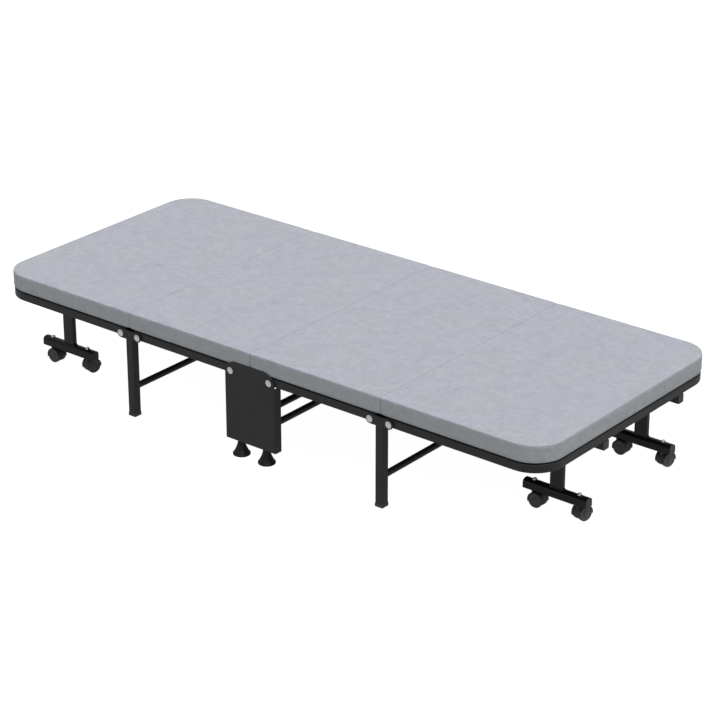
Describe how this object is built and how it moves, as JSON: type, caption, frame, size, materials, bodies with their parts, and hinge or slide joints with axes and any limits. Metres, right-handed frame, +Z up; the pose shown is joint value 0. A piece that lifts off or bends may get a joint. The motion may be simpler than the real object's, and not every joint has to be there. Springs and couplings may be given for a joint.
{
  "type": "folding cot",
  "caption": "Low folding bed with a padded top in hinged sections on a tube frame, with legs, cone feet and swivelling casters.",
  "frame": {"origin": "on the floor under the middle of the bed", "axes": "+X along the bed towards the foot half, +Y across it away from the near side, +Z up"},
  "size_m": [1.9, 0.827, 0.315],
  "materials": {
    "frame_black": "satin black powder coat",
    "zinc": "bright zinc plate",
    "caster_black": "moulded nylon",
    "foot_black": "matte moulded",
    "board_black": "black faced panel",
    "fabric_grey": "heathered woven cover"
  },
  "bodies": {
    "centre_stand": {"centre_plate_near": "frame_black", "centre_plate_far": "frame_black", "centre_crossbar_head": "frame_black", "centre_crossbar_foot": "frame_black", "cone_foot_head_near": "foot_black", "cone_foot_head_far": "foot_black", "cone_foot_foot_near": "foot_black", "cone_foot_foot_far": "foot_black", "centre_bolt_head_near": "zinc", "centre_bolt_head_far": "zinc", "centre_bolt_foot_near": "zinc", "centre_bolt_foot_far": "zinc"},
    "head_inner": {"head_inner_frame": "frame_black", "head_inner_board": "board_black", "head_inner_pad": "fabric_grey"},
    "head_leg": {"head_leg_frame": "frame_black", "head_leg_bolt_inner_near": "zinc", "head_leg_bolt_inner_far": "zinc", "head_leg_bolt_outer_near": "zinc", "head_leg_bolt_outer_far": "zinc"},
    "head_outer": {"head_end_rail": "frame_black", "head_carrier": "frame_black", "head_outer_board": "board_black", "head_outer_pad": "fabric_grey"},
    "head_near_stand": {"head_near_stand": "frame_black", "head_near_stand_bolt": "zinc"},
    "head_near_caster_outer": {"head_near_caster_outer_housing": "caster_black"},
    "head_near_caster_outer_wheels": {"head_near_caster_outer_wheels": "caster_black"},
    "head_near_caster_inner": {"head_near_caster_inner_housing": "caster_black"},
    "head_near_caster_inner_wheels": {"head_near_caster_inner_wheels": "caster_black"},
    "head_far_stand": {"head_far_stand": "frame_black", "head_far_stand_bolt": "zinc"},
    "head_far_caster_outer": {"head_far_caster_outer_housing": "caster_black"},
    "head_far_caster_outer_wheels": {"head_far_caster_outer_wheels": "caster_black"},
    "head_far_caster_inner": {"head_far_caster_inner_housing": "caster_black"},
    "head_far_caster_inner_wheels": {"head_far_caster_inner_wheels": "caster_black"},
    "foot_inner": {"foot_inner_frame": "frame_black", "foot_inner_board": "board_black", "foot_inner_pad": "fabric_grey"},
    "foot_leg": {"foot_leg_frame": "frame_black", "foot_leg_bolt_inner_near": "zinc", "foot_leg_bolt_inner_far": "zinc", "foot_leg_bolt_outer_near": "zinc", "foot_leg_bolt_outer_far": "zinc"},
    "foot_outer": {"foot_end_rail": "frame_black", "foot_carrier": "frame_black", "foot_outer_board": "board_black", "foot_outer_pad": "fabric_grey"},
    "foot_near_stand": {"foot_near_stand": "frame_black", "foot_near_stand_bolt": "zinc"},
    "foot_near_caster_inner": {"foot_near_caster_inner_housing": "caster_black"},
    "foot_near_caster_inner_wheels": {"foot_near_caster_inner_wheels": "caster_black"},
    "foot_near_caster_outer": {"foot_near_caster_outer_housing": "caster_black"},
    "foot_near_caster_outer_wheels": {"foot_near_caster_outer_wheels": "caster_black"},
    "foot_far_stand": {"foot_far_stand": "frame_black", "foot_far_stand_bolt": "zinc"},
    "foot_far_caster_inner": {"foot_far_caster_inner_housing": "caster_black"},
    "foot_far_caster_inner_wheels": {"foot_far_caster_inner_wheels": "caster_black"},
    "foot_far_caster_outer": {"foot_far_caster_outer_housing": "caster_black"},
    "foot_far_caster_outer_wheels": {"foot_far_caster_outer_wheels": "caster_black"}
  },
  "joints": [
    {"name": "head_fold", "type": "hinge", "parent": "centre_stand", "child": "head_inner", "pos_m": [-0.0675, 0, 0.248], "axis": [0, 1, 0], "range_deg": [0, 90], "deforming": ["head_inner_pad"]},
    {"name": "head_leg_pivot", "type": "hinge", "parent": "head_inner", "child": "head_leg", "pos_m": [-0.4108, 0, 0.248], "axis": [0, 1, 0], "range_deg": [-90, 0]},
    {"name": "head_outer_pivot", "type": "hinge", "parent": "head_leg", "child": "head_outer", "pos_m": [-0.4728, 0, 0.248], "axis": [0, 1, 0], "range_deg": [-90, 0]},
    {"name": "head_near_stand_pivot", "type": "hinge", "parent": "head_outer", "child": "head_near_stand", "pos_m": [-0.8351, -0.2635, 0.23], "axis": [0, 1, 0], "range_deg": [0, 90]},
    {"name": "head_near_caster_outer_swivel", "type": "hinge", "parent": "head_near_stand", "child": "head_near_caster_outer", "pos_m": [-0.8885, -0.2635, 0.0446], "axis": [0, 0, 1], "continuous": true},
    {"name": "head_near_caster_outer_roll", "type": "hinge", "parent": "head_near_caster_outer", "child": "head_near_caster_outer_wheels", "pos_m": [-0.8775, -0.2635, 0.021], "axis": [0, 1, 0], "continuous": true},
    {"name": "head_near_caster_inner_swivel", "type": "hinge", "parent": "head_near_stand", "child": "head_near_caster_inner", "pos_m": [-0.7485, -0.2635, 0.0446], "axis": [0, 0, 1], "continuous": true},
    {"name": "head_near_caster_inner_roll", "type": "hinge", "parent": "head_near_caster_inner", "child": "head_near_caster_inner_wheels", "pos_m": [-0.74603, -0.25278, 0.021], "axis": [-0.9744, 0.225, 0], "continuous": true},
    {"name": "head_far_stand_pivot", "type": "hinge", "parent": "head_outer", "child": "head_far_stand", "pos_m": [-0.8351, 0.1355, 0.23], "axis": [0, 1, 0], "range_deg": [0, 90]},
    {"name": "head_far_caster_outer_swivel", "type": "hinge", "parent": "head_far_stand", "child": "head_far_caster_outer", "pos_m": [-0.8885, 0.1355, 0.0446], "axis": [0, 0, 1], "continuous": true},
    {"name": "head_far_caster_outer_roll", "type": "hinge", "parent": "head_far_caster_outer", "child": "head_far_caster_outer_wheels", "pos_m": [-0.8775, 0.1355, 0.021], "axis": [0, 1, 0], "continuous": true},
    {"name": "head_far_caster_inner_swivel", "type": "hinge", "parent": "head_far_stand", "child": "head_far_caster_inner", "pos_m": [-0.7485, 0.1355, 0.0446], "axis": [0, 0, 1], "continuous": true},
    {"name": "head_far_caster_inner_roll", "type": "hinge", "parent": "head_far_caster_inner", "child": "head_far_caster_inner_wheels", "pos_m": [-0.74603, 0.14622, 0.021], "axis": [-0.9744, 0.225, 0], "continuous": true},
    {"name": "foot_fold", "type": "hinge", "parent": "centre_stand", "child": "foot_inner", "pos_m": [0.0675, 0, 0.248], "axis": [0, -1, 0], "range_deg": [0, 90], "deforming": ["foot_inner_pad"]},
    {"name": "foot_leg_pivot", "type": "hinge", "parent": "foot_inner", "child": "foot_leg", "pos_m": [0.4108, 0, 0.248], "axis": [0, -1, 0], "range_deg": [-90, 0]},
    {"name": "foot_outer_pivot", "type": "hinge", "parent": "foot_leg", "child": "foot_outer", "pos_m": [0.4728, 0, 0.248], "axis": [0, -1, 0], "range_deg": [-90, 0]},
    {"name": "foot_near_stand_pivot", "type": "hinge", "parent": "foot_outer", "child": "foot_near_stand", "pos_m": [0.8351, -0.1355, 0.23], "axis": [0, -1, 0], "range_deg": [0, 90]},
    {"name": "foot_near_caster_inner_swivel", "type": "hinge", "parent": "foot_near_stand", "child": "foot_near_caster_inner", "pos_m": [0.7485, -0.1355, 0.0446], "axis": [0, 0, 1], "continuous": true},
    {"name": "foot_near_caster_inner_roll", "type": "hinge", "parent": "foot_near_caster_inner", "child": "foot_near_caster_inner_wheels", "pos_m": [0.7595, -0.1355, 0.021], "axis": [0, 1, 0], "continuous": true},
    {"name": "foot_near_caster_outer_swivel", "type": "hinge", "parent": "foot_near_stand", "child": "foot_near_caster_outer", "pos_m": [0.8885, -0.1355, 0.0446], "axis": [0, 0, 1], "continuous": true},
    {"name": "foot_near_caster_outer_roll", "type": "hinge", "parent": "foot_near_caster_outer", "child": "foot_near_caster_outer_wheels", "pos_m": [0.89097, -0.12478, 0.021], "axis": [-0.9744, 0.225, 0], "continuous": true},
    {"name": "foot_far_stand_pivot", "type": "hinge", "parent": "foot_outer", "child": "foot_far_stand", "pos_m": [0.8351, 0.2635, 0.23], "axis": [0, -1, 0], "range_deg": [0, 90]},
    {"name": "foot_far_caster_inner_swivel", "type": "hinge", "parent": "foot_far_stand", "child": "foot_far_caster_inner", "pos_m": [0.7485, 0.2635, 0.0446], "axis": [0, 0, 1], "continuous": true},
    {"name": "foot_far_caster_inner_roll", "type": "hinge", "parent": "foot_far_caster_inner", "child": "foot_far_caster_inner_wheels", "pos_m": [0.7595, 0.2635, 0.021], "axis": [0, 1, 0], "continuous": true},
    {"name": "foot_far_caster_outer_swivel", "type": "hinge", "parent": "foot_far_stand", "child": "foot_far_caster_outer", "pos_m": [0.8885, 0.2635, 0.0446], "axis": [0, 0, 1], "continuous": true},
    {"name": "foot_far_caster_outer_roll", "type": "hinge", "parent": "foot_far_caster_outer", "child": "foot_far_caster_outer_wheels", "pos_m": [0.89097, 0.27422, 0.021], "axis": [-0.9744, 0.225, 0], "continuous": true}
  ],
  "couplings": [
    {"joint": "head_leg_pivot", "follows": "head_fold", "ratio": -1},
    {"joint": "head_outer_pivot", "follows": "head_fold", "ratio": -1},
    {"joint": "head_near_stand_pivot", "follows": "head_fold", "ratio": 1},
    {"joint": "head_far_stand_pivot", "follows": "head_fold", "ratio": 1},
    {"joint": "foot_leg_pivot", "follows": "foot_fold", "ratio": -1},
    {"joint": "foot_outer_pivot", "follows": "foot_fold", "ratio": -1},
    {"joint": "foot_near_stand_pivot", "follows": "foot_fold", "ratio": 1},
    {"joint": "foot_far_stand_pivot", "follows": "foot_fold", "ratio": 1}
  ]
}
